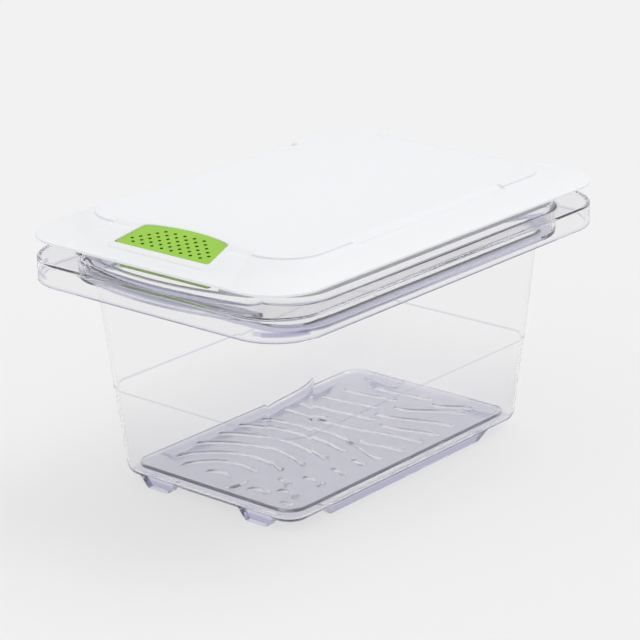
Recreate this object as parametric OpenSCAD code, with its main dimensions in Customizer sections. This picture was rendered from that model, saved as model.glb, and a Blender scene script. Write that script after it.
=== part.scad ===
// Vented potato storage bin: clear tub, ridged drain tray, white domed lid and green vent cartridge.
// +Z is up, the long side runs along Y, and the vent end of the lid faces -Y.

/* [Tub] */
// Width of the tub's outside at the floor
base_w = 150; // [144:1:154]
// Length of the tub's outside at the floor
base_l = 239; // [232:1:244]
// Corner radius of the tub at the floor
base_corner_r = 16; // [14:1:20]
// Radius of the bend between wall and floor
bend_r = 10; // [8:0.5:12]
// Draft of the walls, in degrees
draft = 5.3; // [4.6:0.1:5.6]
// Wall thickness
wall = 2.2; // [1.8:0.1:2.4]
// Height of the feet under the floor
foot_h = 6; // [4:0.5:7]
// Height of the line moulded round the walls
mark_h = 65; // [50:1:80]
// How far the wall steps out at that line
mark_step = 0.5; // [0.3:0.1:0.8]

/* [Rim] */
// Width of the ledge and of the lid
rim_w = 222; // [220:1:226]
// Length of the ledge and of the lid
rim_l = 330; // [326:1:334]
// Corner radius of the ledge and of the lid
rim_corner_r = 34; // [30:1:38]
// Height of the ledge's top face
ledge_h = 157; // [156:0.5:158]
// Depth of the skirt that hangs from the ledge
skirt_drop = 15.5; // [12:0.5:17]
// Width of the neck that stands through the ledge
neck_w = 198; // [194:1:200]
// Length of the neck
neck_l = 278; // [275:1:280]
// Corner radius of the neck
neck_corner_r = 30; // [26:1:32]
// Height of the shoulder's underside
shoulder_h = 138.5; // [136:0.5:139.5]
// Height of the neck's top edge
neck_top = 168; // [167:0.5:168.5]
// How far the neck bows out at the vent end
bow = 20.5; // [19:0.5:20.5]

/* [Lid] */
// Height of the lid's outer edge
lid_edge_h = 169.6; // [169:0.1:170]
// Thickness of the lid
lid_t = 1.7; // [1.5:0.1:2]
// Width of the raised panel
panel_w = 178; // [174:1:180]
// Length of the raised panel
panel_l = 261; // [256:1:263]
// Corner radius of the raised panel
panel_corner_r = 28; // [24:1:32]
// Height of the raised panel's top face
panel_h = 181.5; // [181:0.1:182]
// Depth of the four stacking cut-outs along the panel's edges
cutout_depth = 2.2; // [1.5:0.1:2.4]

/* [Vent] */
// Half width of the green window along its front edge
vent_front_half_w = 39; // [36:0.5:40]
// Half width of the window at its rear corners
vent_rear_half_w = 34.5; // [32:0.5:36]
// Depth of the window from its front edge to its rear corners
vent_depth = 23; // [21:0.5:24]
// Rise of the arched rear edge above its corners
vent_arch = 5.2; // [4:0.1:6]
// Slope of the window, in degrees
vent_slope = 14; // [12:0.5:15]
// Distance between the columns of holes in one row
hole_pitch_x = 7.9; // [7:0.1:9]
// Distance between the rows of holes
hole_pitch_y = 3.4; // [3:0.1:4]
// Height of the vent cartridge's underside
vent_bottom_h = 160.1; // [159.5:0.1:161]

/* [Tray] */
// Width of the ridged drain tray
tray_w = 136; // [130:1:137]
// Length of the drain tray
tray_l = 224; // [216:1:226]
// Thickness of the tray's plate
tray_t = 1.4; // [1.2:0.1:1.8]
// Height of the ridges above the plate
ridge_h = 2.4; // [1.5:0.1:3]
// Distance from one ridge to the next
ridge_pitch = 14.6; // [13:0.1:17]

/* [Hidden] */

// Small overlap that makes joined shapes one solid
lap = 0.01;
// Thickness of the slices that a lofted wall is stretched over
slice_t = 0.02;

floor_top = foot_h + wall;
ledge_t = wall;
shoulder_t = wall + 0.3;
shoulder_top = shoulder_h + shoulder_t;
alcove_h = 146;
mouth_gap = 0.3;
plug_t = 1.8;
plug_bottom_h = 160.2;

bow_r = 200;
bow_half_w = 72;
bow_corner_r = 8;

rail_half_l = 77;
rail_outer_x = 70.5;
rail_w = 8;
end_foot_inner_x = 33;
end_foot_outer_x = 51;
end_foot_outer_y = 117.3;
end_foot_t = 9;
foot_flare = 7;

cutout_back = 6;

vent_y = -136.5;
vent_z = 178.1;
vent_front_y = -12;
cover_t = 2.2;
cover_gap = 0.25;
cover_ledge = 1.5;
well_wall = 2;
well_bottom_h = 168.4;
cartridge_wall = 1.5;
cartridge_split_h = 166.2;
bezel_rise = 0.9;

tray_plate_z = floor_top + 2.2;
tray_corner_r = 13;
tray_lip_h = 2.6;
tray_lip_w = 1.8;
ridge_centre = [6, -108];
first_ridge_r = 20;
ridge_count = 14;

// Outside width and length of the tub at height z
function tub_w(z) = base_w + 2 * (z - foot_h) * tan(draft);
function tub_l(z) = base_l + 2 * (z - foot_h) * tan(draft);
function tub_r(z) = base_corner_r + 0.055 * (z - foot_h);

// Flat rounded rectangle with true round corners
module plate_outline(w, l, r) {
    square([w - 2 * r, l], center = true);
    square([w, l - 2 * r], center = true);
    for (sx = [-1, 1], sy = [-1, 1])
        translate([sx * (w / 2 - r), sy * (l / 2 - r)])
            circle(r = r, $fn = 96);
}

module slab(w, l, r, z0, z1) {
    translate([0, 0, z0])
        linear_extrude(z1 - z0)
            plate_outline(w, l, r);
}

// One thin slice of a lofted form, with coarser corners
module slice(w, l, r, z) {
    translate([0, 0, z])
        linear_extrude(slice_t)
            hull_outline(w, l, r);
}

module hull_outline(w, l, r) {
    square([w - 2 * r, l], center = true);
    square([w, l - 2 * r], center = true);
    for (sx = [-1, 1], sy = [-1, 1])
        translate([sx * (w / 2 - r), sy * (l / 2 - r)])
            circle(r = r, $fn = 48);
}

// Drafted body between z0 and z1, drawn in by inset, with its lowest edge bent by radius r
module drafted_body(z0, z1, inset, r) {
    hull() {
        for (a = [0:22.5:90])
            let (z = z0 + r * (1 - cos(a)), i = inset + r * (1 - sin(a)))
                slice(tub_w(z) - 2 * i, tub_l(z) - 2 * i, max(3, tub_r(z) - i), z);
        slice(tub_w(z1) - 2 * inset, tub_l(z1) - 2 * inset, tub_r(z1) - inset, z1 - slice_t);
    }
}

// Plan of the neck, drawn in by inset, with the bow at the vent end
module neck_outline(inset) {
    plate_outline(neck_w - 2 * inset, neck_l - 2 * inset, neck_corner_r - inset);
    bow_outline(inset);
}

// The bow: one wide arc that two small arcs join to its short sides
module bow_outline(inset) {
    corner_x = bow_half_w - bow_corner_r;
    arc_y = -neck_l / 2 - bow + bow_r;
    centre_dist = bow_r - bow_corner_r;
    corner_y = arc_y - sqrt(centre_dist * centre_dist - corner_x * corner_x);
    joint_x = corner_x * (bow_r - inset) / centre_dist;
    inner_y = 10 - neck_l / 2;
    intersection() {
        translate([0, arc_y])
            circle(r = bow_r - inset, $fn = 360);
        translate([-joint_x, -neck_l / 2 - bow - 5])
            square([2 * joint_x, bow + 15]);
    }
    translate([inset - bow_half_w, corner_y])
        square([2 * (bow_half_w - inset), inner_y - corner_y]);
    for (sx = [-1, 1])
        translate([sx * corner_x, corner_y])
            circle(r = bow_corner_r - inset, $fn = 64);
}

// Foot with flared ends: a trapezium of the given half length, pulled through its width
module flared_foot(half_l, w) {
    top = foot_h + 3;
    rotate([90, 0, 90])
        translate([0, 0, -w / 2])
            linear_extrude(w)
                polygon([[-half_l, 0], [half_l, 0], [half_l + foot_flare, top], [-half_l - foot_flare, top]]);
}

module feet() {
    end_foot_mid = (end_foot_inner_x + end_foot_outer_x) / 2;
    end_foot_half = (end_foot_outer_x - end_foot_inner_x) / 2;
    for (sx = [-1, 1]) {
        translate([sx * (rail_outer_x - rail_w / 2), 0, 0])
            flared_foot(rail_half_l, rail_w);
        for (sy = [-1, 1])
            translate([sx * end_foot_mid, sy * (end_foot_outer_y - end_foot_t / 2), 0])
                rotate([0, 0, 90])
                    flared_foot(end_foot_half, end_foot_t);
    }
}

module bin_tub() {
    color([0.86, 0.88, 0.93, 0.35])
    difference() {
        union() {
            drafted_body(foot_h, mark_h, mark_step, bend_r);
            drafted_body(mark_h - lap, shoulder_h + lap, 0, 0);
            feet();
            slab(neck_w, neck_l, neck_corner_r, shoulder_h, neck_top);
            translate([0, 0, alcove_h])
                linear_extrude(neck_top - alcove_h)
                    bow_outline(0);
            slab(rim_w, rim_l, rim_corner_r, ledge_h - skirt_drop, ledge_h);
        }
        // room inside the skirt, under the ledge
        difference() {
            slab(rim_w - 2 * wall, rim_l - 2 * wall, rim_corner_r - wall,
                 ledge_h - skirt_drop - 1, ledge_h - ledge_t);
            slab(neck_w, neck_l, neck_corner_r, shoulder_h, ledge_h);
            translate([0, 0, alcove_h])
                linear_extrude(ledge_h - alcove_h)
                    bow_outline(0);
            drafted_body(mark_h, shoulder_h + lap, 0, 0);
        }
        drafted_body(floor_top, shoulder_top + lap, wall, bend_r - wall);
        slab(neck_w - 2 * wall, neck_l - 2 * wall, neck_corner_r - wall, shoulder_top, neck_top + 1);
        translate([0, 0, alcove_h + wall])
            linear_extrude(neck_top)
                bow_outline(wall);
    }
}

// Nested ridges round a point near the tray's front edge
module ridges() {
    margin = 9;
    intersection() {
        slab(tray_w - 2 * margin, tray_l - 2 * margin, tray_corner_r - 3,
             tray_plate_z, tray_plate_z + tray_t + ridge_h);
        translate([ridge_centre[0], ridge_centre[1], tray_plate_z + tray_t - lap])
            for (k = [0:ridge_count - 1])
                rotate_extrude($fn = 96)
                    translate([first_ridge_r + k * ridge_pitch, 0])
                        polygon([[-2.6, 0], [2.6, 0], [1.1, ridge_h], [-1.1, ridge_h]]);
    }
}

module drain_tray() {
    color([0.84, 0.86, 0.91, 0.5])
    union() {
        slab(tray_w, tray_l, tray_corner_r, tray_plate_z, tray_plate_z + tray_t);
        difference() {
            slab(tray_w, tray_l, tray_corner_r, tray_plate_z, tray_plate_z + tray_lip_h);
            slab(tray_w - 2 * tray_lip_w, tray_l - 2 * tray_lip_w, tray_corner_r - tray_lip_w,
                 tray_plate_z + tray_t, tray_plate_z + tray_lip_h + 1);
        }
        ridges();
        for (sx = [-1, 1], y = [-92, -31, 31, 92])
            translate([sx * 52, y, floor_top])
                cylinder(d = 7, h = tray_plate_z - floor_top + lap, $fn = 32);
    }
}

// Plan of the vent window, grown by grow: straight front, tapered sides and an arched rear edge
module window_outline(grow) {
    rear_y = vent_front_y + vent_depth;
    arch_r = (vent_rear_half_w * vent_rear_half_w + vent_arch * vent_arch) / (2 * vent_arch);
    offset(delta = grow)
        offset(r = 3, $fn = 32)
            offset(delta = -3)
                intersection() {
                    polygon([[-vent_front_half_w, vent_front_y], [vent_front_half_w, vent_front_y],
                             [vent_rear_half_w - 1, rear_y + vent_arch], [-vent_rear_half_w + 1, rear_y + vent_arch]]);
                    translate([0, rear_y + vent_arch - arch_r])
                        circle(r = arch_r, $fn = 180);
                }
}

// Upright column of the window's plan between two heights
module window_column(grow, z0, z1) {
    translate([0, vent_y, z0])
        linear_extrude(z1 - z0)
            window_outline(grow);
}

// Puts a flat shape on the sloping plane of the window
module on_vent_plane() {
    translate([0, vent_y, vent_z])
        rotate([vent_slope, 0, 0])
            children();
}

// Everything above the sloping plane, or below it, from height h of that plane
module above_vent_plane(h) {
    on_vent_plane()
        translate([-60, -40, h])
            cube([120, 80, 60]);
}

module below_vent_plane(h) {
    on_vent_plane()
        translate([-60, -40, h - 60])
            cube([120, 80, 60]);
}

// The lid's outside: flat edge, sloping margin and raised panel
module lid_form() {
    slab(rim_w, rim_l, rim_corner_r, lid_edge_h, lid_edge_h + lid_t);
    hull() {
        slice(rim_w - 1, rim_l - 1, rim_corner_r - 0.5, lid_edge_h + lid_t - slice_t);
        slice(panel_w + 2, panel_l + 2, panel_corner_r + 1, panel_h - 1.2);
    }
    slab(panel_w, panel_l, panel_corner_r, panel_h - 2, panel_h);
}

// The hollow under the lid: under the margin, and higher under the middle of the panel
module lid_hollow() {
    hull() {
        slice(rim_w - 5, rim_l - 5, rim_corner_r - 2.5, lid_edge_h - 1);
        slice(panel_w - 2, panel_l - 2, panel_corner_r - 1, panel_h - 1.2 - lid_t);
    }
    slab(panel_w - 2 * cutout_back - 4, panel_l - 2 * cutout_back - 4, panel_corner_r - cutout_back,
         lid_edge_h + 4, panel_h - lid_t);
}

// Wedge that cuts one stacking recess into the panel's edge, as long as 2 * half_l
module edge_cutout(edge, half_l) {
    rotate([90, 0, 90])
        translate([0, 0, -half_l])
            linear_extrude(2 * half_l)
                polygon([[-edge - 2, panel_h - cutout_depth], [-edge + 0.5, panel_h - cutout_depth],
                         [-edge + cutout_back, panel_h + lap], [-edge - 2, panel_h + lap]]);
}

module lid_cutouts() {
    for (a = [0, 180])
        rotate([0, 0, a])
            edge_cutout(panel_l / 2, 57);
    for (a = [90, 270])
        rotate([0, 0, a])
            edge_cutout(panel_w / 2, 75);
}

// Raised frame round the window, with sloping sides
module vent_bezel() {
    intersection() {
        on_vent_plane()
            hull() {
                translate([0, 0, -1.6])
                    linear_extrude(slice_t)
                        window_outline(7.5);
                translate([0, 0, bezel_rise])
                    linear_extrude(slice_t)
                        window_outline(3.2);
            }
        translate([-60, vent_y - 40, lid_edge_h + 1])
            cube([120, 80, panel_h + 0.7 - lid_edge_h - 1]);
    }
}

module lid_shell() {
    seat_r = 0.6;
    color([0.95, 0.96, 0.97])
    difference() {
        union() {
            difference() {
                lid_form();
                lid_hollow();
                lid_cutouts();
            }
            // plug ring inside the neck
            translate([0, 0, plug_bottom_h])
                linear_extrude(neck_top + 1 - plug_bottom_h)
                    difference() {
                        neck_outline(wall + mouth_gap);
                        neck_outline(wall + mouth_gap + plug_t);
                    }
            // seat on the neck's top edge, up to the underside of the lid
            intersection() {
                lid_form();
                seat_column(seat_r);
            }
            difference() {
                seat_column(seat_r);
                slab(rim_w, rim_l, rim_corner_r, lid_edge_h + lap, panel_h + 20);
            }
            vent_bezel();
            intersection() {
                window_column(well_wall, well_bottom_h, panel_h + 5);
                union() {
                    below_vent_plane(0);
                    vent_bezel();
                }
            }
        }
        intersection() {
            window_column(cover_gap, lid_edge_h, panel_h + 10);
            above_vent_plane(-cover_t - 0.1);
        }
        window_column(-cover_ledge, well_bottom_h - 10, panel_h + 10);
    }
}

module seat_column(seat_r) {
    translate([0, 0, neck_top])
        linear_extrude(panel_h - neck_top)
            difference() {
                neck_outline(-seat_r);
                neck_outline(wall + mouth_gap + plug_t);
            }
}

// Staggered lattice of short six-sided slots, kept inside the window's frame
module vent_holes() {
    for (row = [-2:3], col = [-5:5])
        let (x = (col + ((row + 4) % 2 == 0 ? 0.5 : 0)) * hole_pitch_x, y = row * hole_pitch_y)
            if (abs(x) < hole_limit(y))
                translate([x, y, -20])
                    linear_extrude(40)
                        polygon([[-1.5, 0], [-0.6, 0.95], [0.6, 0.95], [1.5, 0], [0.6, -0.95], [-0.6, -0.95]]);
}

// Widest place for a hole in the row at y
function hole_limit(y) = 33.5 - 0.7 * max(0, y + 5);

module vent_cover() {
    color([0.6, 0.82, 0.2])
    difference() {
        union() {
            intersection() {
                window_column(0, lid_edge_h, panel_h + 5);
                below_vent_plane(0);
                above_vent_plane(-cover_t);
            }
            intersection() {
                difference() {
                    window_column(-cover_ledge - cover_gap, cartridge_split_h, panel_h + 5);
                    window_column(-cover_ledge - cover_gap - cartridge_wall, cartridge_split_h - 1, panel_h + 5);
                }
                below_vent_plane(-cover_t + lap);
            }
        }
        on_vent_plane()
            vent_holes();
    }
}

module vent_base() {
    inner = -cover_ledge - cover_gap - cartridge_wall;
    color([0.55, 0.78, 0.2])
    difference() {
        window_column(-cover_ledge - cover_gap, vent_bottom_h, cartridge_split_h);
        window_column(inner, vent_bottom_h + 1.4, cartridge_split_h + 1);
        for (k = [-3:3])
            translate([k * 8.4 - 2, vent_y - 6, vent_bottom_h - 1])
                cube([4, 14, 4]);
    }
}

module vent_filter() {
    color([0.2, 0.22, 0.2])
        window_column(-cover_ledge - cover_gap - cartridge_wall - 0.3, vent_bottom_h + 1.5, cartridge_split_h - 0.7);
}

bin_tub();
drain_tray();
lid_shell();
vent_cover();
vent_filter();
vent_base();
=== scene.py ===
"""Looks of the vented potato storage bin: a clear tub on flared feet, a rippled clear drain tray,
a white domed lid and a green perforated vent cartridge.

Lengths are in millimetres until a mesh is made. +Z is up, the long side runs along Y, and the vent
end of the lid faces -Y.
"""

import math

import bpy
import numpy as np
from mathutils import Matrix, Vector


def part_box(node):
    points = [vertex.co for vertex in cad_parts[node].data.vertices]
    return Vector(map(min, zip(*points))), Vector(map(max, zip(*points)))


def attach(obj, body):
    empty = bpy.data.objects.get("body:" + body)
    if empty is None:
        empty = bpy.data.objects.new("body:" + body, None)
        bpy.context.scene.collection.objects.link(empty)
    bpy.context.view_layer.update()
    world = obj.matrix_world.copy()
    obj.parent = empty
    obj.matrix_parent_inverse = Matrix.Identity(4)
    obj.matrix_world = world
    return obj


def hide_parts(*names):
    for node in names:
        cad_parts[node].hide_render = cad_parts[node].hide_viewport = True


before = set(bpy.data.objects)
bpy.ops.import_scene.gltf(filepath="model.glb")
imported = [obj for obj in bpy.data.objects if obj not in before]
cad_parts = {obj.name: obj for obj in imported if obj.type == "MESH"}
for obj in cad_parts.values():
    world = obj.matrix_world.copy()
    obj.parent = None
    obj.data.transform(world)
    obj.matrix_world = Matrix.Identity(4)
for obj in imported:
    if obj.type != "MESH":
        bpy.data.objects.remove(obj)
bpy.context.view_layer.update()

MM = 0.001

# Sizes read from the frame
tub_low, tub_high = (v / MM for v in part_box("bin_tub"))
rim_w, rim_l = tub_high.x - tub_low.x, tub_high.y - tub_low.y
neck_top = tub_high.z

# Tub
base_w, base_l, base_corner_r, corner_growth = 150.0, 239.0, 16.0, 0.055
draft = math.radians(5.3)
wall = 2.2
foot_h = 6.0
floor_top = foot_h + wall
bend_r = 10.0
mark_h, mark_step = 65.0, 0.5
rim_corner_r = 34.0
ledge_h, skirt_drop = 157.0, 15.5
neck_w, neck_l, neck_corner_r = 198.0, 278.0, 30.0
shoulder_h, shoulder_t = 138.5, 2.5
bow, bow_r, bow_half_w, bow_corner_r = 20.5, 200.0, 72.0, 8.0
alcove_h = 146.0

# Lid
lid_edge_h, lid_t = 169.6, 1.7
panel_w, panel_l, panel_corner_r, panel_h = 178.0, 261.0, 28.0, 181.5
panel_step = 1.2
cutout_depth, cutout_back, cutout_end = 2.2, 6.0, 0.5
side_cutout_half, end_cutout_half = 75.0, 57.0
plug_bottom_h, plug_t, mouth_gap, seat_r, seat_inset = 160.2, 1.8, 0.3, 0.6, 4.55

# Vent
vent_y, vent_z, vent_slope = -136.5, 178.1, math.radians(14)
window_front_y, window_depth = -12.0, 23.0
window_front_half, window_rear_half, window_arch = 39.0, 34.5, 5.2
well_bottom_h = 168.4
plug_slot_half = 63.0

# Tray
tray_w, tray_l, tray_corner_r = 136.0, 224.0, 13.0
tray_low, tray_t, tray_lip_h, tray_lip_w = floor_top + 2.2, 1.4, 2.6, 1.8


# Meshes

def mesh_object(name, points, faces):
    """A linked mesh object from points in millimetres, with its faces turned outwards."""
    mesh = bpy.data.meshes.new(name)
    mesh.from_pydata((np.asarray(points) * MM).tolist(), [], faces)
    mesh.validate()
    mesh.update()
    face_outwards(mesh)
    thing = bpy.data.objects.new(name, mesh)
    bpy.context.scene.collection.objects.link(thing)
    return thing


def piece(name, points, faces, body, slot, material, stands_for=()):
    """A visible piece on its body, with its material and the nodes that it stands for."""
    thing = mesh_object(name, points, faces)
    thing.data.materials.append(material)
    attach(thing, body)
    if stands_for:
        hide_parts(*stands_for)
    return thing


def volume_of(mesh):
    """Signed volume of a closed mesh: the sum of the tetrahedra from the origin to its triangles."""
    mesh.calc_loop_triangles()
    corners = np.empty(len(mesh.loop_triangles) * 3, int)
    mesh.loop_triangles.foreach_get("vertices", corners)
    co = np.empty(len(mesh.vertices) * 3)
    mesh.vertices.foreach_get("co", co)
    a, b, c = co.reshape(-1, 3)[corners].reshape(-1, 3, 3).transpose(1, 0, 2)
    return float((a * np.cross(b, c)).sum() / 6)


def face_outwards(mesh):
    """Flips a closed mesh whose faces point inwards."""
    if volume_of(mesh) < 0:
        mesh.flip_normals()
        mesh.update()


large_face_weight = 90


def smooth(thing):
    """Smooth shading in which the large faces keep their own direction and the rounds turn between them."""
    thing.data.polygons.foreach_set("use_smooth", np.ones(len(thing.data.polygons), bool))
    weighted = thing.modifiers.new("face_weighted_normals", "WEIGHTED_NORMAL")
    weighted.weight = large_face_weight
    weighted.keep_sharp = False
    return thing


def grid_faces(rows, columns, wrap_rows=False):
    """Quads of a grid that closes round its columns, and round its rows too if wrap_rows."""
    u = np.arange(rows if wrap_rows else rows - 1)[:, None]
    v = np.arange(columns)[None, :]
    u1, v1 = (u + 1) % rows, (v + 1) % columns
    quads = np.stack([u * columns + v, u * columns + v1, u1 * columns + v1, u1 * columns + v], -1)
    return quads.reshape(-1, 4).tolist()


def capped_faces(rows, columns):
    """Quads between the rings of a grid, with its first and last ring closed on a pole each."""
    first_pole, last_pole = rows * columns, rows * columns + 1
    last = (rows - 1) * columns
    faces = grid_faces(rows, columns)
    faces += [[first_pole, (v + 1) % columns, v] for v in range(columns)]
    faces += [[last_pole, last + v, last + (v + 1) % columns] for v in range(columns)]
    return faces


def softened(cage, cuts, steps=4, closed=False):
    """Rounds a grid of control rings along its first direction.

    At each ring the two straight stretches stop short by that ring's cut, and a parabola with the
    control point as its middle handle joins them. A plain ring is added a little outside each round,
    so that the flat stretches stay flat under smooth shading.
    """
    longest_cut, longest_guard, guard_ratio = 0.42, 0.47, 1.15
    count = len(cage)
    rings = []
    for i in range(count):
        at = cage[i]
        if not closed and i in (0, count - 1):
            rings.append(at[None])
            continue
        before, after = cage[i - 1], cage[(i + 1) % count]
        if cuts[i] <= 0:
            rings.append(at[None])
            continue
        ends = []
        for other in (before, after):
            away = other - at
            length = np.maximum(np.linalg.norm(away, axis=-1, keepdims=True), 1e-6)
            share = np.minimum(cuts[i] / length, longest_cut)
            guard = np.minimum(share * guard_ratio, longest_guard)
            ends.append((at + away * share, at + away * guard))
        (start, outer_start), (stop, outer_stop) = ends
        s = np.linspace(0, 1, steps + 1)[:, None, None]
        rings.append(outer_start[None])
        rings.append((1 - s) ** 2 * start + 2 * s * (1 - s) * at + s ** 2 * stop)
        rings.append(outer_stop[None])
    return np.concatenate(rings)


def outline_numbers(corner_steps, x_stops, y_stops):
    """The points round a rounded rectangle as four numbers each: cx, cy, ax and ay.

    A point lies at (cx * (half width - r) + ax * r, cy * (half length - r) + ay * r). In a corner cx
    and cy are 1 or -1 and (ax, ay) turns through a quarter circle. On a side one of cx and cy runs
    between the corners through the stops, which are shares of its half.
    """
    parts = []
    turn = np.linspace(0, math.pi / 2, corner_steps + 1)
    for quarter, (sx, sy) in enumerate(((1, 1), (-1, 1), (-1, -1), (1, -1))):
        angle = turn + quarter * math.pi / 2
        one = np.ones_like(angle)
        parts.append(np.stack([sx * one, sy * one, np.cos(angle), np.sin(angle)]))
        stops = np.asarray(x_stops if quarter % 2 == 0 else y_stops, float)
        one = np.ones_like(stops)
        zero = np.zeros_like(stops)
        if quarter % 2 == 0:
            parts.append(np.stack([sx * -stops, sy * one, zero, sy * one]))
        else:
            parts.append(np.stack([sx * one, sy * -stops, sx * one, zero]))
    return np.concatenate(parts, axis=1)


def bow_push(x, half_l):
    """How far the vent end of a neck outline of that half length bulges past its straight side, at x.

    The bulge is one wide arc that two small arcs join to its short sides. A square root that stays
    just above zero softens the joint with the straight side.
    """
    softening = 0.2
    inset = neck_l / 2 - half_l
    arc_y = bow_r - neck_l / 2 - bow
    corner_x, centre_gap = bow_half_w - bow_corner_r, bow_r - bow_corner_r
    corner_y = arc_y - math.sqrt(centre_gap ** 2 - corner_x ** 2)
    joint_x = corner_x * (bow_r - inset) / centre_gap
    wide = arc_y - np.sqrt(np.maximum((bow_r - inset) ** 2 - x ** 2, 0))
    small = corner_y - np.sqrt(np.maximum((bow_corner_r - inset) ** 2 - (np.abs(x) - corner_x) ** 2, 0))
    push = -half_l - np.where(np.abs(x) < joint_x, wide, small)
    push = (push + np.sqrt(push ** 2 + softening)) / 2
    return np.where(np.abs(x) < bow_half_w - inset, push, 0)


def bow_stops():
    """Stops along the ends, closer together near the bulge's own small corners."""
    dense_from = 0.82
    middle = np.linspace(-dense_from, dense_from, 41)
    tail = np.linspace(dense_from, 1, 15)[1:-1]
    return np.concatenate([-tail[::-1], middle, tail])


def ring(numbers, half_w, half_l, r, z, bowed=0.0):
    """One ring of points round a rounded rectangle at height z, bowed out at the vent end."""
    cx, cy, ax, ay = numbers
    x = cx * (half_w - r) + ax * r
    y = cy * (half_l - r) + ay * r
    vent_side = (cy < 0) & (ay < -0.5)
    y = y - np.where(vent_side, bowed * bow_push(x, half_l), 0)
    return np.stack([x, y, np.broadcast_to(z, x.shape)], -1)


def rounded_distance(x, y, half_w, half_l, r):
    """Signed distance to a rounded rectangle, negative inside it."""
    qx, qy = np.abs(x) - (half_w - r), np.abs(y) - (half_l - r)
    outside = np.hypot(np.maximum(qx, 0), np.maximum(qy, 0))
    return outside + np.minimum(np.maximum(qx, qy), 0) - r


def loft_height(x, y, low, high):
    """Height over (x, y) of the loft between two rounded rectangles, found by halving the interval.

    low and high are (half width, half length, corner radius, height).
    """
    halvings = 24
    low, high = np.asarray(low), np.asarray(high)
    near, far = np.zeros_like(x), np.ones_like(x)
    for _ in range(halvings):
        middle = (near + far) / 2
        half_w, half_l, r = (low[i] + (high[i] - low[i]) * middle for i in range(3))
        inside = rounded_distance(x, y, half_w, half_l, r) < 0
        near, far = np.where(inside, middle, near), np.where(inside, far, middle)
    return low[3] + (high[3] - low[3]) * near


def grid_piece(name, cage, cuts, steps, *rest, poles=None, closed=False):
    """A closed surface from control rings: softened, then capped on two poles, or closed into a ring."""
    rings = softened(cage, cuts, steps, closed)
    rows, columns = rings.shape[:2]
    points = rings.reshape(-1, 3)
    if closed:
        return piece(name, points, grid_faces(rows, columns, wrap_rows=True), *rest)
    points = np.concatenate([points, np.asarray(poles, float)])
    return piece(name, points, capped_faces(rows, columns), *rest)


def combined(thing, other, operation):
    """Joins another closed mesh to a piece, or cuts it out, and removes the other one."""
    boolean = thing.modifiers.new("join", "BOOLEAN")
    boolean.object = other
    boolean.operation = operation
    boolean.solver = "EXACT"
    view = bpy.context.evaluated_depsgraph_get()
    made = bpy.data.meshes.new_from_object(thing.evaluated_get(view))
    thing.modifiers.clear()
    old = thing.data
    thing.data = made
    made.name = thing.name
    bpy.data.meshes.remove(old)
    bpy.data.objects.remove(other)
    return thing


def swept_prism(outline, low, high):
    """Points and faces of an upright prism over a closed outline, capped by fans on two poles."""
    centre = outline.mean(0)
    levels = np.array([low, high])
    rings = np.stack([np.column_stack([outline, np.full(len(outline), z)]) for z in levels])
    poles = [[*centre, low], [*centre, high]]
    points = np.concatenate([rings.reshape(-1, 3), poles])
    return points, capped_faces(2, len(outline))


# Tub

def tub_half(z, inset=0.0):
    """Half width, half length and corner radius of the drafted tub at height z."""
    rise = z - foot_h
    grow = rise * math.tan(draft)
    corner_r = base_corner_r + corner_growth * rise
    return base_w / 2 + grow - inset, base_l / 2 + grow - inset, corner_r - inset


def neck_half(inset=0.0):
    """Half width, half length and corner radius of the neck."""
    return neck_w / 2 - inset, neck_l / 2 - inset, neck_corner_r - inset


def rim_half(inset=0.0):
    """Half width, half length and corner radius of the skirt and of the lid's edge."""
    return rim_w / 2 - inset, rim_l / 2 - inset, rim_corner_r - inset


def tub_cage(numbers):
    """Control rings of the tub's skin, from under the floor, out over the rim and down inside.

    Each row is an outline, its height, whether it bulges at the vent end, and how far its round reaches.
    """
    floor_middle = 14.0
    shoulder_top = shoulder_h + shoulder_t
    under_ledge = ledge_h - wall
    skirt_low = ledge_h - skirt_drop
    rows = [
        (tub_half(foot_h, floor_middle), foot_h, 0, 0),
        (tub_half(foot_h, mark_step), foot_h, 0, bend_r),
        (tub_half(mark_h, mark_step), mark_h - 0.3, 0, 0.15),
        (tub_half(mark_h), mark_h, 0, 0.15),
        (tub_half(shoulder_h), shoulder_h, 0, 2.0),
        (neck_half(), shoulder_h, 0, 3.0),
        (neck_half(), alcove_h - 0.1, 0, 0.4),
        (neck_half(), alcove_h + 0.1, 1, 1.2),
        (neck_half(), under_ledge, 1, 1.0),
        (rim_half(wall), under_ledge, 0, 1.2),
        (rim_half(wall), skirt_low, 0, 0.8),
        (rim_half(), skirt_low, 0, 0.8),
        (rim_half(), ledge_h, 0, 1.2),
        (neck_half(), ledge_h, 1, 3.0),
        (neck_half(), neck_top, 1, 0.8),
        (neck_half(wall), neck_top, 1, 0.8),
        (neck_half(wall), alcove_h + wall + 0.1, 1, 1.5),
        (neck_half(wall), alcove_h + wall - 0.1, 0, 0.8),
        (neck_half(wall), shoulder_top, 0, 2.5),
        (tub_half(shoulder_top, wall), shoulder_top, 0, 2.0),
        (tub_half(floor_top, wall), floor_top, 0, bend_r - wall),
        (tub_half(floor_top, floor_middle), floor_top, 0, 0),
    ]
    cage = np.stack([ring(numbers, *half, z, bowed) for half, z, bowed, _ in rows])
    return cage, [cut for *_, cut in rows]


foot_top = foot_h + 2.0
end_foot = dict(x=(33.0, 51.0), y=(108.3, 117.3), flare=6.5)
side_rail = dict(x=(62.5, 69.5), half_l=77.0, flare=7.0, lean=3.0)
block_corner_r = 1.2


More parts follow.
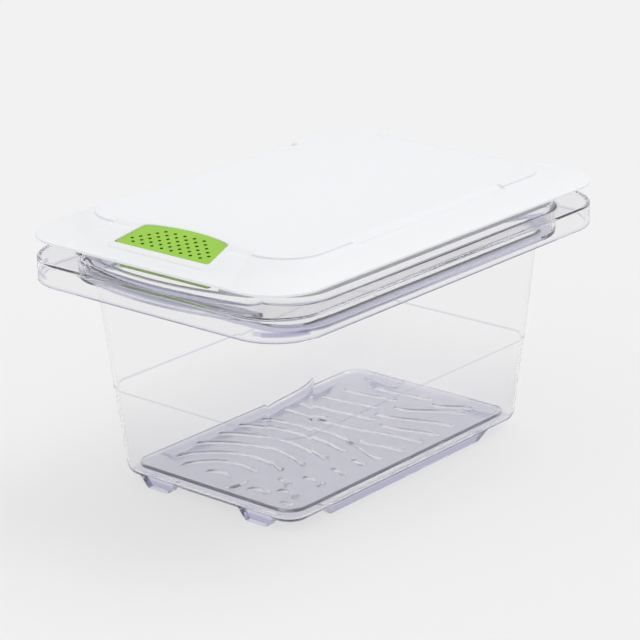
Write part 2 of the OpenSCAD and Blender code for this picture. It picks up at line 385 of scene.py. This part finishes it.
def flared_block(low_box, high_box, low, high, rounding=0.8):
    """Points and faces of a block whose base and top are two rectangles with small round corners."""
    rings = []
    turn = np.linspace(0, math.pi / 2, 5)
    for (x0, x1, y0, y1), z, shrink in (
        (low_box, low, rounding), (low_box, low + rounding, 0.0), (high_box, high, 0.0)):
        cx, cy, half_x, half_y = (x0 + x1) / 2, (y0 + y1) / 2, (x1 - x0) / 2, (y1 - y0) / 2
        for quarter, (sx, sy) in enumerate(((1, 1), (-1, 1), (-1, -1), (1, -1))):
            angle = turn + quarter * math.pi / 2
            x = cx + sx * (half_x - shrink - block_corner_r) + block_corner_r * np.cos(angle)
            y = cy + sy * (half_y - shrink - block_corner_r) + block_corner_r * np.sin(angle)
            rings.append(np.stack([x, y, np.full_like(x, z)], -1))
    rings = np.concatenate(rings).reshape(3, -1, 3)
    poles = [rings[0].mean(0), rings[-1].mean(0)]
    return np.concatenate([rings.reshape(-1, 3), poles]), capped_faces(3, rings.shape[1])


def feet_blocks():
    """The four end feet and the two side rails, each as (points, faces)."""
    blocks = []
    x0, x1 = end_foot["x"]
    y0, y1 = end_foot["y"]
    flare = end_foot["flare"]
    for sx in (-1, 1):
        for sy in (-1, 1):
            low = (*sorted((sx * x0, sx * x1)), *sorted((sy * y0, sy * y1)))
            high = (*sorted((sx * (x0 - flare), sx * (x1 + flare))), *sorted((sy * y0, sy * y1)))
            blocks.append(flared_block(low, high, 0.0, foot_top))
        r0, r1 = side_rail["x"]
        half_l, flare_l, lean = side_rail["half_l"], side_rail["flare"], side_rail["lean"]
        low = (*sorted((sx * r0, sx * r1)), -half_l, half_l)
        high = (*sorted((sx * r0, sx * (r1 + lean))), -half_l - flare_l, half_l + flare_l)
        blocks.append(flared_block(low, high, 0.0, foot_top))
    return blocks


def make_tub(material):
    """The tub's skin, with its feet and rails joined on."""
    corner_steps, round_steps = 56, 5
    side_stops = np.linspace(-1, 1, 22)[1:-1]
    cage, cuts = tub_cage(outline_numbers(corner_steps, bow_stops(), side_stops))
    poles = [[0, 0, foot_h], [0, 0, floor_top]]
    tub = grid_piece(
        "tub_moulding", cage, cuts, round_steps, "bin", "clear_tub", material, ["bin_tub"], poles=poles)
    for i, (points, faces) in enumerate(feet_blocks()):
        combined(tub, mesh_object(f"foot_{i}", points, faces), "UNION")
    return smooth(tub)


# Drain tray

ripple_half, ripple_ramp, ripple_h = 3.3, 1.9, 1.15
ripple_centre = (-9.0, -103.0)
# Front ripples: radius, how far they reach to the left and to the right of the centre
front_ripples = ((16, 9, 19), (33, 29, 12), (48, 42, 23), (65, 47, 30), (81, 47, 33), (97, 47, 34),
                 (110, 42, 35))
# Rear ripples: x and y of the left end, x of the right end, rise towards the right
rear_ripples = ((-52, 22, -22, 3), (-21, 20, 54, 10), (-50, 38, 4, 4), (18, 38, 56, 8), (3, 52, 53, 13),
                (5, 69, 46, 19), (-48, 56, -8, 5), (-44, 74, -6, 5), (-30, 90, 12, 5), (22, 89, 44, 9),
                (14, 6, 55, 5), (21, 1, 51, -9))
# Short ripples at the front right: x and y of the middle, half length, slope
nubs = ((46, -21, 3, -0.2), (46, -40, 4, -0.2), (44, -60, 6, -0.3), (27, -93, 5, 0.1), (44, -85, 6, -0.1),
        (54, -100, 2, 0), (30, -74, 4, -0.4))


def ripple_height(x, y):
    """Height of the ripples over the plate: low ridges along arcs, waves and short dashes.

    Front ripples follow circles about one point. A rear ripple rises along half a cosine wave, and a
    dash is a small parabola. Each has soft flanks, a flat crest and a round nose.
    """
    steepest, dash_bend = 0.35, 0.06
    height = np.zeros_like(x)

    def add_line(line_y, slope, left, right):
        off = (y - line_y) / np.sqrt(1 + slope ** 2)
        past = np.maximum(np.maximum(left - x, x - right), 0)
        near = np.clip((ripple_half - np.hypot(off, past)) / ripple_ramp, 0, 1)
        near = near * near * (3 - 2 * near)
        np.maximum(height, ripple_h * near, out=height)

    centre_x, centre_y = ripple_centre
    for radius, left, right in front_ripples:
        across = x - centre_x
        drop = np.sqrt(np.maximum(radius ** 2 - across ** 2, (steepest * radius) ** 2))
        add_line(centre_y + drop, -across / drop, centre_x - left, centre_x + right)
    for x0, y0, x1, rise in rear_ripples:
        share = np.clip((x - x0) / (x1 - x0), 0, 1)
        wave = math.pi * share
        slope = rise / (x1 - x0) * (math.pi / 2) * np.sin(wave)
        add_line(y0 + rise * (1 - np.cos(wave)) / 2, slope, x0, x1)
    for x0, y0, half, slope in nubs:
        across = x - x0
        line_y = y0 + slope * across - dash_bend * across ** 2
        add_line(line_y, slope - 2 * dash_bend * across, x0 - half, x0 + half)
    return height


def corner_pull(x, y, half_w, half_l, r):
    """Pulls the corner squares of a rectangular grid onto round corners, as a square maps to a disc."""
    u = np.maximum(np.abs(x) - (half_w - r), 0) / r
    v = np.maximum(np.abs(y) - (half_l - r), 0) / r
    pulled_x = np.where(u > 0, np.sign(x) * (half_w - r + r * u * np.sqrt(1 - v ** 2 / 2)), x)
    pulled_y = np.where(v > 0, np.sign(y) * (half_l - r + r * v * np.sqrt(1 - u ** 2 / 2)), y)
    return pulled_x, pulled_y


def make_tray(material):
    """A thin plate on a fine grid: its top carries the lip and the ripples, its underside is flat."""
    lip_flank, round_reach, top_round, low_round = 1.0, 0.9, 0.5, 0.4
    plain_border, border_flank = 6.0, 2.0
    width_points, length_points = 171, 280
    half_w, half_l = tray_w / 2, tray_l / 2
    xs = np.linspace(-half_w, half_w, width_points)
    ys = np.linspace(-half_l, half_l, length_points)
    x, y = np.meshgrid(xs, ys, indexing="ij")
    x, y = corner_pull(x, y, half_w, half_l, tray_corner_r)
    edge = -rounded_distance(x, y, half_w, half_l, tray_corner_r)
    lip = (tray_lip_h - tray_t) * np.clip((tray_lip_w + lip_flank - edge) / lip_flank, 0, 1)
    edge_round = np.clip(1 - edge / round_reach, 0, 1) ** 2
    inside = np.clip((edge - plain_border) / border_flank, 0, 1)
    top = tray_low + tray_t + lip - top_round * edge_round + ripple_height(x, y) * inside
    bottom = tray_low + low_round * edge_round
    rows, columns = x.shape
    points = np.concatenate([np.stack([x, y, z], -1).reshape(-1, 3) for z in (top, bottom)])
    i, j = np.meshgrid(np.arange(rows - 1), np.arange(columns - 1), indexing="ij")
    a = i * columns + j
    upper = np.stack([a, a + columns, a + columns + 1, a + 1], -1).reshape(-1, 4)
    under = upper[:, ::-1] + rows * columns
    rim = np.concatenate([
        np.arange(rows - 1) * columns,
        (rows - 1) * columns + np.arange(columns - 1),
        np.arange(rows - 1, 0, -1) * columns + columns - 1,
        np.arange(columns - 1, 0, -1)])
    after = np.roll(rim, -1)
    side = np.stack([rim, rim + rows * columns, after + rows * columns, after], -1)
    faces = np.concatenate([upper, under, side]).tolist()
    tray = piece("tray_moulding", points, faces, "tray", "clear_tray", material, ["drain_tray"])
    return smooth(tray)


# Lid

def panel_half(inset=0.0):
    """Half width, half length and corner radius of the raised panel."""
    return panel_w / 2 - inset, panel_l / 2 - inset, panel_corner_r - inset


def lid_numbers():
    """The lid's outline, with a pair of stops close together at each end of the stacking cut-outs."""
    corner_steps = 30
    straight_x, straight_y = panel_w / 2 - panel_corner_r, panel_l / 2 - panel_corner_r
    ends = np.array([-cutout_end, cutout_end])
    x_ends = (end_cutout_half + ends) / straight_x
    y_ends = (side_cutout_half + ends) / straight_y
    x_stops = np.sort(np.concatenate([bow_stops(), x_ends, -x_ends]))
    y_stops = np.sort(np.concatenate([np.linspace(-0.9, 0.9, 12), y_ends, -y_ends]))
    return outline_numbers(corner_steps, x_stops, y_stops)


def cutout_share(numbers):
    """1 along the stacking cut-outs in the panel's edges and 0 elsewhere, for each point round the lid."""
    cx, cy, ax, ay = numbers
    along_y = np.abs(cy) * (panel_l / 2 - panel_corner_r)
    along_x = np.abs(cx) * (panel_w / 2 - panel_corner_r)
    on_side = (np.abs(ax) == 1) & (np.abs(cy) < 1)
    on_end = (np.abs(ay) == 1) & (np.abs(cx) < 1)
    side = np.clip(side_cutout_half + cutout_end - along_y, 0, 1) * on_side
    end = np.clip(end_cutout_half + cutout_end - along_x, 0, 1) * on_end
    return np.maximum(side, end)


# Outlines and heights between which the margin and its underside slope
margin_low = (*rim_half(0.5), lid_edge_h + lid_t)
margin_high = (*panel_half(-1), panel_h - panel_step)
under_low = (*rim_half(2.5), lid_edge_h - 1)
under_high = (*panel_half(1), panel_h - panel_step - lid_t)


def lid_cage(numbers):
    """Control rings of the lid's skin, from the panel's middle out to the edge and back underneath.

    Each row is a ring and how far its round reaches. The cut-outs run on outwards at their own height
    until the sloping margin meets them.
    """
    share = cutout_share(numbers)[:, None]
    cut_z = panel_h - cutout_depth
    fall = cutout_depth - panel_step
    run = 1 + fall * (margin_low[0] - margin_high[0]) / (margin_high[3] - margin_low[3])

    def either(plain, cut):
        return (1 - share) * ring(numbers, *plain) + share * ring(numbers, *cut)

    def plug_ring(inset, z=0.0):
        return ring(numbers, *neck_half(inset), z, 1)

    plug_out = wall + mouth_gap
    plug_in = plug_out + plug_t
    rows = [
        (ring(numbers, *panel_half(cutout_back + 6), panel_h), 0),
        (ring(numbers, *panel_half(cutout_back), panel_h), 1.0),
        (either((*panel_half(), panel_h), (*panel_half(0.5), cut_z)), 0.5),
        (either((*panel_half(), panel_h - panel_step), (*panel_half(-0.4), cut_z)), 0.3),
        (either((*panel_half(-1), panel_h - panel_step), (*panel_half(-run), cut_z)), 0.8),
        (ring(numbers, *margin_low), 0.6),
        (ring(numbers, *rim_half(), lid_edge_h + lid_t - 0.2), 0.3),
        (ring(numbers, *rim_half(), lid_edge_h), 0.4),
        (ring(numbers, *rim_half(seat_inset), lid_edge_h), 0.6),
        (plug_ring(-seat_r), 0.5),
        (plug_ring(-seat_r, neck_top), 0.2),
        (plug_ring(plug_out, neck_top), 0.2),
        (plug_ring(plug_out, plug_bottom_h), 0.6),
        (plug_ring(plug_in, plug_bottom_h), 0.6),
        (plug_ring(plug_in), 0.8),
        (ring(numbers, *under_high), 0.6),
        (ring(numbers, *panel_half(cutout_back + 2), under_high[3]), 0.4),
        (ring(numbers, *panel_half(cutout_back + 3), panel_h - lid_t), 0.4),
        (ring(numbers, *panel_half(cutout_back + 9), panel_h - lid_t), 0),
    ]
    cage = np.stack([points for points, _ in rows])
    for row in (9, 14):
        cage[row, :, 2] = loft_height(cage[row, :, 0], cage[row, :, 1], under_low, under_high)
    return cage, [cut for _, cut in rows]


def window_outline(count=200):
    """Plan of the vent window: straight front, tapered sides, arched rear edge.

    Its corners are rounded by a running average of finely spaced points.
    """
    fine_count, average_over, arch_points = 4000, 132, 60
    rear_y = window_front_y + window_depth
    arch_r = (window_rear_half ** 2 + window_arch ** 2) / (2 * window_arch)
    span = math.asin(window_rear_half / arch_r)
    angle = np.linspace(span, -span, arch_points)
    arch = np.stack([arch_r * np.sin(angle), rear_y + window_arch - arch_r + arch_r * np.cos(angle)], -1)
    corners = np.array([[-window_front_half, window_front_y], [window_front_half, window_front_y]])
    loop = np.concatenate([corners, arch])
    fine = resampled(loop, fine_count)
    kernel = np.hanning(average_over)
    kernel /= kernel.sum()
    middle = slice(fine_count, 2 * fine_count)
    soft = np.stack([np.convolve(np.tile(fine[:, k], 3), kernel, "same")[middle] for k in (0, 1)], -1)
    return resampled(soft, count)


def resampled(loop, count):
    """A closed loop as count points evenly spaced along its length."""
    closed = np.concatenate([loop, loop[:1]])
    length = np.concatenate([[0], np.cumsum(np.linalg.norm(np.diff(closed, axis=0), axis=1))])
    at = np.linspace(0, length[-1], count, endpoint=False)
    return np.stack([np.interp(at, length, closed[:, k]) for k in (0, 1)], -1)


def outward(loop):
    """Unit normals of a closed counter-clockwise loop."""
    along = np.roll(loop, -1, 0) - np.roll(loop, 1, 0)
    along /= np.linalg.norm(along, axis=1, keepdims=True)
    return np.stack([along[:, 1], -along[:, 0]], -1)


def plane_z(y):
    """Height of the sloping window plane at y."""
    return vent_z + math.tan(vent_slope) * (y - vent_y)


frame_top = panel_h + 0.7
frame_rise = 0.9


def vent_frame_cage(loop, normals):
    """Control rings of the raised frame and the well under it, round the window.

    Each row is a distance out from the window, a rise over its sloping plane or else a height, and
    how far its round reaches. The frame's foot is wider at the front.
    """
    front = np.clip(-normals[:, 1], 0, 1)[:, None] ** 2
    rows = [
        (0.25 + 0 * front, frame_rise, None, 0.4),
        (1.9 + 3.6 * front, frame_rise, None, 1.2),
        (3.4 + 5.0 * front, -1.4, None, 0.3),
        (3.4 + 5.0 * front, -1.9, None, 0.1),
        (2.0 + 0 * front, -2.1, None, 0.2),
        (2.0 + 0 * front, None, well_bottom_h, 0.4),
        (-1.5 + 0 * front, None, well_bottom_h, 0.4),
        (-1.5 + 0 * front, -2.3, None, 0.2),
        (0.25 + 0 * front, -2.3, None, 0.2),
    ]
    rings = []
    for offset, rise, height, _ in rows:
        plan = loop + normals * offset
        plan_y = plan[:, 1] + vent_y
        z = np.full(len(plan), height) if rise is None else np.minimum(plane_z(plan_y) + rise, frame_top)
        rings.append(np.column_stack([plan[:, 0], plan_y, z]))
    return np.stack(rings), [cut for *_, cut in rows]


def make_lid(material):
    """The lid's skin with its window and the slot in its plug cut out, and the frame round the window."""
    round_steps = 4
    window_gap, slot_gap, slot_margin = 1.1, 0.8, 1.1
    cutter_low, cutter_high = 150.0, 200.0
    cage, cuts = lid_cage(lid_numbers())
    poles = [[0, 0, panel_h], [0, 0, panel_h - lid_t]]
    lid = grid_piece(
        "lid_moulding", cage, cuts, round_steps, "lid", "white_lid", material, ["lid_shell"], poles=poles)
    loop = window_outline()
    normals = outward(loop)
    opening = loop + normals * window_gap + np.array([0, vent_y])
    points, faces = swept_prism(opening, cutter_low, cutter_high)
    combined(lid, mesh_object("window_cutter", points, faces), "DIFFERENCE")
    slot_back = vent_y + window_front_y - slot_gap
    slot_box = (-plug_slot_half, plug_slot_half, -neck_l / 2 - bow, slot_back)
    slot_low, slot_high = plug_bottom_h + slot_margin, neck_top - slot_margin
    points, faces = flared_block(slot_box, slot_box, slot_low, slot_high, 0.0)
    combined(lid, mesh_object("plug_cutter", points, faces), "DIFFERENCE")
    smooth(lid)
    frame_cage, frame_cuts = vent_frame_cage(loop, normals)
    vent_frame = grid_piece(
        "vent_frame", frame_cage, frame_cuts, round_steps, "lid", "white_lid", material, closed=True)
    smooth(vent_frame)


# Materials

def node_adder(tree):
    """Adds a node by kind, with its inputs or settings given by name."""
    def add(kind, **values):
        node = tree.nodes.new(kind)
        for key, value in values.items():
            if key in node.inputs:
                node.inputs[key].default_value = value
            else:
                setattr(node, key, value)
        return node

    return add


def new_material(name):
    """An empty node material: the material, its node adder and its linker."""
    material = bpy.data.materials.new(name)
    material.use_nodes = True
    tree = material.node_tree
    tree.nodes.clear()
    return material, node_adder(tree), tree.links.new


def rgba(red, green, blue):
    """A colour given as it looks on screen, 0 to 255, as linear values."""
    linear = [((c / 255 + 0.055) / 1.055) ** 2.4 if c > 10 else c / 255 / 12.92 for c in (red, green, blue)]
    return (*linear, 1.0)


clear_ior, opaque_ior = 1.25, 1.46
violet_depth, depth_density = (0.42, 0.35, 0.59, 1), 4.5
# Painted shade for the tub: a blue-violet colour laid where refraction draws dark lines
violet_painted_shade = (0.55, 0.54, 0.72, 1)
low_shade = (0.5, 0.5, 0.62, 1)
haze_colour = rgba(232, 232, 243)
lid_white = rgba(247, 248, 250)


def moulded_normal(add, link, shader, strength, scale, distance):
    """The faint unevenness of a moulded surface: soft noise on the piece's own coordinates, as bump."""
    place = add("ShaderNodeTexCoord")
    noise = add("ShaderNodeTexNoise", Scale=scale, Detail=3.0, Roughness=0.5)
    bump = add("ShaderNodeBump", Strength=strength, Distance=distance)
    link(place.outputs["Object"], noise.inputs["Vector"])
    link(noise.outputs["Fac"], bump.inputs["Height"])
    link(bump.outputs["Normal"], shader.inputs["Normal"])


def ranged(add, link, value, low, high, at_low, at_high, kind="SMOOTHSTEP"):
    """A value that runs from at_low to at_high while another one runs from low to high."""
    share = add("ShaderNodeMapRange", interpolation_type=kind)
    for name, number in (("From Min", low), ("From Max", high), ("To Min", at_low), ("To Max", at_high)):
        share.inputs[name].default_value = number
    link(value, share.inputs["Value"])
    return share.outputs["Result"]


def coordinates(add, link):
    """The piece's own coordinates, apart."""
    place = add("ShaderNodeTexCoord")
    split = add("ShaderNodeSeparateXYZ")
    link(place.outputs["Object"], split.inputs["Vector"])
    return split.outputs


def share_along(add, link, low, high, at_low, at_high, axis="Z"):
    """A value that runs smoothly from at_low to at_high between two places along an axis, in mm."""
    return ranged(add, link, coordinates(add, link)[axis], low * MM, high * MM, at_low, at_high)


def combined_value(add, link, first, second, operation):
    """One sum, product or maximum of two values."""
    node = add("ShaderNodeMath", operation=operation)
    link(first, node.inputs[0])
    link(second, node.inputs[1])
    return node.outputs[0]


def band_share(add, link, rise, fall, level=1, axis="Z"):
    """A value that climbs to its level over one stretch of an axis and falls to 0 over another one."""
    up = share_along(add, link, *rise, 0, level, axis)
    down = share_along(add, link, *fall, 1, 0, axis)
    return combined_value(add, link, up, down, "MULTIPLY")


def two_colours(add, link, share, plain, tinted):
    """Mixes two colours by a share and returns the colour output."""
    mix = add("ShaderNodeMix", data_type="RGBA")
    mix.inputs["A"].default_value = plain
    mix.inputs["B"].default_value = tinted
    link(share, mix.inputs["Factor"])
    return mix.outputs["Result"]


def two_shaders(add, link, share, first, second):
    """Mixes two shader nodes by a share, which is a number or an output."""
    mix = add("ShaderNodeMixShader")
    if isinstance(share, float):
        mix.inputs["Fac"].default_value = share
    else:
        link(share, mix.inputs["Fac"])
    link(first.outputs[0], mix.inputs[1])
    link(second.outputs[0], mix.inputs[2])
    return mix


def clear_plastic(name, roughness, see_through, milk, colour_and_painted_shade):
    """Clear moulded plastic: glass-like, tinted by depth, and letting lamps through.

    milk(add, link) and colour_and_painted_shade(add, link) give the share of haze and the colour of the
    surface;
    on the tub that colour holds painted shade. Lamps shine through the lowest part less, so that the feet
    throw a darker shadow.
    """
    material, add, link = new_material(name)
    out = add("ShaderNodeOutputMaterial")
    shine = add("ShaderNodeBsdfPrincipled", Roughness=roughness, IOR=clear_ior)
    shine.inputs["Transmission Weight"].default_value = 1.0
    # On the tub this base colour carries the painted shade of its dark refraction lines
    link(colour_and_painted_shade(add, link), shine.inputs["Base Color"])
    moulded_normal(add, link, shine, 0.05, 28.0, 0.0004)
    front = add("ShaderNodeBsdfDiffuse", Color=haze_colour)
    back = add("ShaderNodeBsdfTranslucent", Color=haze_colour)
    haze = two_shaders(add, link, 0.5, front, back)
    body = two_shaders(add, link, milk(add, link), shine, haze)
    clear = add("ShaderNodeBsdfTransparent")
    low = share_along(add, link, foot_h + 1.0, foot_h + 9.0, 1, 0)
    link(two_colours(add, link, low, see_through, low_shade), clear.inputs["Color"])
    path = add("ShaderNodeLightPath")
    mix = two_shaders(add, link, path.outputs["Is Shadow Ray"], body, clear)
    link(mix.outputs["Shader"], out.inputs["Surface"])
    depth = add("ShaderNodeVolumeAbsorption", Color=violet_depth, Density=depth_density)
    link(depth.outputs["Volume"], out.inputs["Volume"])
    return material


def tub_milk(add, link):
    """The tub's haze gathers towards its floor, with a trace of it from the shoulder to the ledge."""
    low = share_along(add, link, floor_top, 75.0, 0.085, 0.0)
    high = share_along(add, link, shoulder_h - 4.0, shoulder_h, 0.0, 0.045)
    return combined_value(add, link, low, high, "ADD")


def tub_painted_shade(add, link):
    """Clear walls; blue-violet painted shade of refraction lines in the thick shoulder, under the bulge, in
    the line and the feet.
    """
    shoulder_top, bulge_top = shoulder_h + shoulder_t, alcove_h + wall
    bulge_back, skirt_inside = -neck_l / 2, -rim_l / 2 + wall
    shoulder = band_share(
        add, link, (shoulder_h - 3.5, shoulder_h - 0.5), (shoulder_top, shoulder_top + 3.0), 0.75)
    line = band_share(add, link, (mark_h - 0.7, mark_h - 0.3), (mark_h + 0.1, mark_h + 0.5), 0.55)
    foot = share_along(add, link, foot_h - 0.5, foot_h + 1.5, 1, 0)
    bulge = band_share(add, link, (alcove_h - 1.0, alcove_h - 0.3), (bulge_top - 0.4, bulge_top + 0.6))
    depth = band_share(
        add, link, (skirt_inside + 0.5, skirt_inside + 1.5), (bulge_back - 0.8, bulge_back - 0.2), axis="Y")
    share = combined_value(add, link, bulge, depth, "MULTIPLY")
    for other in (shoulder, line, foot):
        share = combined_value(add, link, share, other, "MAXIMUM")
    return two_colours(add, link, share, (1, 1, 1, 1), violet_painted_shade)


def tray_milk(add, link):
    """The tray's ridges and lip are hazier than its plate."""
    plate = tray_low + tray_t
    return share_along(add, link, plate + 0.2, plate + 1.6, 0.03, 0.1)


def tray_tint(add, link):
    """The tray's plate is a little darker than its ridges and lip."""
    plate = tray_low + tray_t
    share = share_along(add, link, plate + 0.2, plate + 2.0, 1, 0)
    return two_colours(add, link, share, (0.975, 0.975, 0.99, 1), (0.955, 0.955, 0.985, 1))


def white_plastic():
    """Satin white plastic that glows a little where light comes from behind."""
    material, add, link = new_material("white_satin_plastic")
    out = add("ShaderNodeOutputMaterial")
    face = add("ShaderNodeBsdfPrincipled", Roughness=0.42, IOR=opaque_ior)
    face.inputs["Base Color"].default_value = lid_white
    moulded_normal(add, link, face, 0.12, 900.0, 0.00005)
    glow = add("ShaderNodeBsdfTranslucent", Color=lid_white)
    mix = two_shaders(add, link, 0.2, face, glow)
    link(mix.outputs["Shader"], out.inputs["Surface"])
    return material


def painted_hole_shade_share(add, link):
    """0 on the vent's sloping face and 1 from half a millimetre under it: where the hole walls get painted
    shade.
    """
    place = coordinates(add, link)
    slope = math.tan(vent_slope)
    fall = add("ShaderNodeMath", operation="MULTIPLY")
    fall.inputs[1].default_value = -slope
    link(place["Y"], fall.inputs[0])
    level = combined_value(add, link, place["Z"], fall.outputs[0], "ADD")
    face_level = (vent_z - slope * vent_y) * MM
    return ranged(add, link, level, face_level - 0.0005, face_level - 0.00015, 1.0, 0.0, "LINEAR")


def coloured_plastic(name, colour, darker, roughness, inside=None):
    """Coloured plastic whose tone varies softly over the piece, with painted shade, a darker colour, on its
    hole walls.
    """
    material, add, link = new_material(name)
    out = add("ShaderNodeOutputMaterial")
    face = add("ShaderNodeBsdfPrincipled", Roughness=roughness, IOR=opaque_ior)
    place = add("ShaderNodeTexCoord")
    cloud = add("ShaderNodeTexNoise", Scale=60.0, Detail=2.0)
    link(place.outputs["Object"], cloud.inputs["Vector"])
    tone = two_colours(add, link, cloud.outputs["Fac"], colour, darker)
    # inside is the colour of the painted shade on the hole walls
    if inside:
        mix = add("ShaderNodeMix", data_type="RGBA")
        mix.inputs["B"].default_value = inside
        link(tone, mix.inputs["A"])
        link(painted_hole_shade_share(add, link), mix.inputs["Factor"])
        tone = mix.outputs["Result"]
    link(tone, face.inputs["Base Color"])
    moulded_normal(add, link, face, 0.15, 700.0, 0.00005)
    link(face.outputs["BSDF"], out.inputs["Surface"])
    return material


# Surroundings

backdrop = rgba(238, 238, 238)
world_light = 0.78
level_seen, level_behind = 0.72, 0.92
aim = Vector((0, 0, 0.08))


def seen_directly(add, link, plain, shown):
    """Shows `shown` to camera, mirror and see-through rays, and `plain` to all others."""
    rays = add("ShaderNodeLightPath").outputs
    share = combined_value(add, link, rays["Is Camera Ray"], rays["Is Glossy Ray"], "MAXIMUM")
    share = combined_value(add, link, share, rays["Is Transmission Ray"], "MAXIMUM")
    return two_shaders(add, link, share, plain, shown)


def make_world():
    """An even pale sky: the backdrop's level where it is seen, and a softer level as light."""
    world = bpy.data.worlds.new("studio")
    bpy.context.scene.world = world
    world.use_nodes = True
    tree = world.node_tree
    tree.nodes.clear()
    add, link = node_adder(tree), tree.links.new
    light = add("ShaderNodeBackground", Color=(1, 1, 1, 1), Strength=world_light)
    shown = add("ShaderNodeBackground", Color=backdrop, Strength=1.0)
    out = add("ShaderNodeOutputWorld")
    link(seen_directly(add, link, light, shown).outputs[0], out.inputs["Surface"])


def make_floor():
    """A wide pale floor that shows the backdrop's level, with a share of real shade for the shadow."""
    reach = 9000.0
    points = [[-reach, -reach, 0], [reach, -reach, 0], [reach, reach, 0], [-reach, reach, 0]]
    material, add, link = new_material("pale_floor")
    out = add("ShaderNodeOutputMaterial")
    face = add("ShaderNodeBsdfDiffuse", Color=rgba(240, 240, 240))
    level = add("ShaderNodeEmission", Color=backdrop, Strength=1.0)
    camera_ray = add("ShaderNodeLightPath").outputs["Is Camera Ray"]
    share = ranged(add, link, camera_ray, 0.0, 1.0, level_behind, level_seen, "LINEAR")
    even = two_shaders(add, link, share, face, level)
    link(seen_directly(add, link, face, even).outputs[0], out.inputs["Surface"])
    material.cycles.emission_sampling = "NONE"
    floor = mesh_object("floor", points, [[0, 1, 2, 3]])
    floor.data.materials.append(material)


def make_sun(name, energy, location, angle):
    """A soft sun that shines from a place towards the bin's middle."""
    data = bpy.data.lights.new(name, "SUN")
    data.energy = energy
    data.angle = angle
    lamp = bpy.data.objects.new(name, data)
    bpy.context.scene.collection.objects.link(lamp)
    lamp.location = location
    lamp.rotation_mode = "QUATERNION"
    lamp.rotation_quaternion = (aim - lamp.location).to_track_quat("-Z", "Y")


def make_camera():
    """The photograph's camera: turned about the bin's middle, then shifted sideways, up and back."""
    azimuth, elevation, roll = math.radians(40.63), math.radians(19.06), math.radians(-1.05)
    distance, shift_right, shift_up, middle_z = 1592.4, -2.24, 9.46, 82.5
    focal_pixels, image_pixels, sensor = 2441.06, 640, 36.0
    back = Vector((math.sin(azimuth) * math.cos(elevation),
                   -math.cos(azimuth) * math.cos(elevation), math.sin(elevation)))
    right = Vector((math.cos(azimuth), math.sin(azimuth), 0))
    up = back.cross(right)
    right, up = (math.cos(roll) * right + math.sin(roll) * up,
                 math.cos(roll) * up - math.sin(roll) * right)
    data = bpy.data.cameras.new("camera")
    data.sensor_width = sensor
    data.lens = focal_pixels * sensor / image_pixels
    data.clip_start, data.clip_end = 0.05, 60
    camera = bpy.data.objects.new("camera", data)
    bpy.context.scene.collection.objects.link(camera)
    turn = Matrix((right, up, back)).transposed().to_4x4()
    place = Vector((0, 0, middle_z)) + shift_right * right + shift_up * up + distance * back
    camera.matrix_world = Matrix.Translation(place * MM) @ turn
    bpy.context.scene.camera = camera


make_camera()
make_world()
make_floor()
make_sun("key", 1.1, (0.3, 1.1, 2.4), 0.7)
make_sun("fill", 0.15, (-0.8, -2.0, 0.9), 0.9)

tub_plastic = clear_plastic("clear_tub_plastic", 0.02, (0.96, 0.96, 0.975, 1), tub_milk, tub_painted_shade)
tray_plastic = clear_plastic("clear_tray_plastic", 0.16, (0.92, 0.92, 0.95, 1), tray_milk, tray_tint)
vent_materials = {
    # The cover's hole walls get a dark green painted shade
    "vent_cover": coloured_plastic(
        "lime_vent_plastic", rgba(150, 202, 50), rgba(140, 192, 42), 0.4, inside=rgba(62, 104, 26)),
    # The base's green is painted paler than the cover's as painted light, since the base sits in shade
    "vent_base": coloured_plastic("lime_base_painted_light", rgba(180, 218, 96), rgba(170, 210, 86), 0.4),
    "vent_filter": coloured_plastic("dark_filter_felt", rgba(34, 48, 22), rgba(24, 34, 16), 0.95),
}

make_tub(tub_plastic)
make_tray(tray_plastic)
make_lid(white_plastic())
for node, material in vent_materials.items():
    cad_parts[node].data.materials.clear()
    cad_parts[node].data.materials.append(material)

scene = bpy.context.scene
scene.view_settings.view_transform = "Standard"
clear_bounces = 80
scene.cycles.max_bounces = clear_bounces
scene.cycles.transmission_bounces = clear_bounces
scene.cycles.transparent_max_bounces = 32
